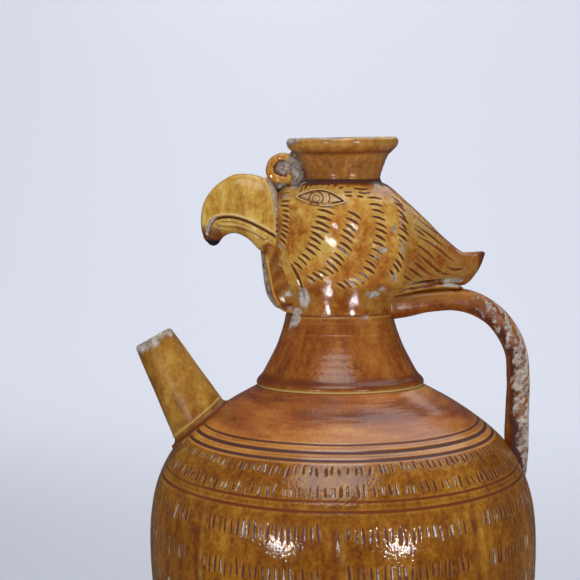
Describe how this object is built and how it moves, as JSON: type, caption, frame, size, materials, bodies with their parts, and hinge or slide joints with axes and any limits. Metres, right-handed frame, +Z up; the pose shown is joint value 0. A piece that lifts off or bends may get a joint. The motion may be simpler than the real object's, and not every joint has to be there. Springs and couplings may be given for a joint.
{
  "type": "phoenix-head ewer",
  "caption": "Amber glazed pottery ewer with a bird head on its neck, flared mouth cup, strap handle and slanted spout; incised bands and combed nicks round the body.",
  "frame": {"origin": "centre of the flat underside of the foot", "axes": "+Z up along the thrown axis, -X towards the beak and the spout, +X towards the handle"},
  "size_m": [0.2053, 0.198, 0.3771],
  "materials": {
    "amber_glaze": "glossy amber lead glaze over buff clay, pooled dark in the cuts",
    "deep_amber_glaze": "glossy red-brown lead glaze, worn to the clay on the handle",
    "golden_glaze": "glossy yellow-brown lead glaze, worn at the lips",
    "bare_clay": "matt unglazed buff clay"
  },
  "bodies": {
    "root": {"foot": "bare_clay", "lower_body": "amber_glaze", "shoulder": "deep_amber_glaze", "neck": "deep_amber_glaze", "head": "amber_glaze", "mouth_cup": "amber_glaze", "upper_beak": "golden_glaze", "lower_beak": "golden_glaze", "crest_scroll": "amber_glaze", "eye_right": "golden_glaze", "eye_left": "golden_glaze", "wattle_right": "amber_glaze", "wattle_left": "amber_glaze", "nape_plume": "amber_glaze", "handle": "deep_amber_glaze", "spout": "golden_glaze"}
  },
  "joints": []
}
